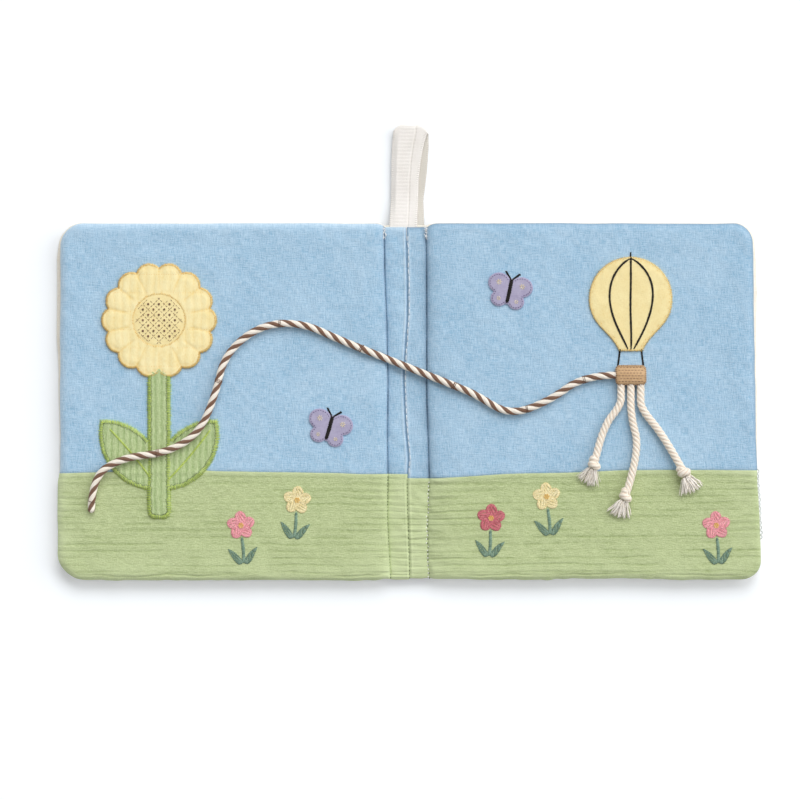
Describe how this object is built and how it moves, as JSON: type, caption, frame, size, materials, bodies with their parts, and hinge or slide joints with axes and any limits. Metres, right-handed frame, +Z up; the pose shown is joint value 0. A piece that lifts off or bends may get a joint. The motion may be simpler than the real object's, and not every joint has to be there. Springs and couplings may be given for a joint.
{
  "type": "soft activity book",
  "caption": "Soft cloth book lying open on its padded cover, with sewn felt shapes, knotted ropes and a twisted cord on its pages and a tape hanging loop at the spine.",
  "frame": {"origin": "middle of the open book's outline, loop included, on the surface it lies on", "axes": "+X from the left page to the right page, +Y up the pages towards the hanging loop, +Z up out of the pages"},
  "size_m": [0.387, 0.253, 0.0196],
  "materials": {
    "cream_cotton": "plain-weave cotton, matt",
    "wadding": "needled polyester wadding",
    "sky_cotton": "fine plain-weave cotton, matt",
    "green_corduroy": "corduroy, wales across the page",
    "leaf_corduroy": "corduroy, wales up the page",
    "cream_tape": "ribbed herringbone tape",
    "yellow_felt": "wool felt",
    "tan_felt": "wool felt",
    "lilac_felt": "wool felt",
    "yellow_quilted_cotton": "quilted cotton",
    "cream_rope": "twisted soft cotton rope",
    "brown_cream_cord": "two-tone twisted cord"
  },
  "bodies": {
    "right_half": {"right_cover_outer": "cream_cotton", "right_cover_wadding": "wadding", "right_cover_lining": "cream_cotton", "right_page_backing": "cream_cotton", "right_page_wadding": "wadding", "right_sky_panel": "sky_cotton", "right_grass_panel": "green_corduroy", "balloon": "yellow_felt", "balloon_basket": "tan_felt", "butterfly_right": "lilac_felt", "rope_1": "cream_rope", "rope_1_knot": "cream_rope", "rope_2": "cream_rope", "rope_2_knot": "cream_rope", "rope_3": "cream_rope", "rope_3_knot": "cream_rope", "cord_right": "brown_cream_cord"},
    "spine": {"spine_cover": "cream_cotton", "spine_lining": "cream_cotton", "spine_backing": "cream_cotton", "spine_sky_strips": "sky_cotton", "spine_grass_strips": "green_corduroy", "hanging_loop": "cream_tape", "cord_bend_right": "brown_cream_cord", "cord_spine": "brown_cream_cord", "cord_bend_left": "brown_cream_cord"},
    "left_half": {"left_cover_outer": "cream_cotton", "left_cover_wadding": "wadding", "left_cover_lining": "cream_cotton", "left_page_backing": "cream_cotton", "left_page_wadding": "wadding", "left_sky_panel": "sky_cotton", "left_grass_panel": "green_corduroy", "flower_petals": "yellow_quilted_cotton", "flower_seed_head": "yellow_felt", "flower_stem": "leaf_corduroy", "flower_leaf_outer": "leaf_corduroy", "flower_leaf_inner": "leaf_corduroy", "butterfly_left": "lilac_felt", "cord_left": "brown_cream_cord"}
  },
  "joints": [
    {"name": "spine_fold", "type": "hinge", "parent": "right_half", "child": "spine", "pos_m": [0.0115, -0.0265, 0.0052], "axis": [0, 1, 0], "range_deg": [0, 90], "deforming": ["cord_bend_right"]},
    {"name": "left_cover_fold", "type": "hinge", "parent": "spine", "child": "left_half", "pos_m": [-0.0115, -0.0265, 0.0052], "axis": [0, 1, 0], "range_deg": [0, 90], "deforming": ["cord_bend_left"]}
  ]
}
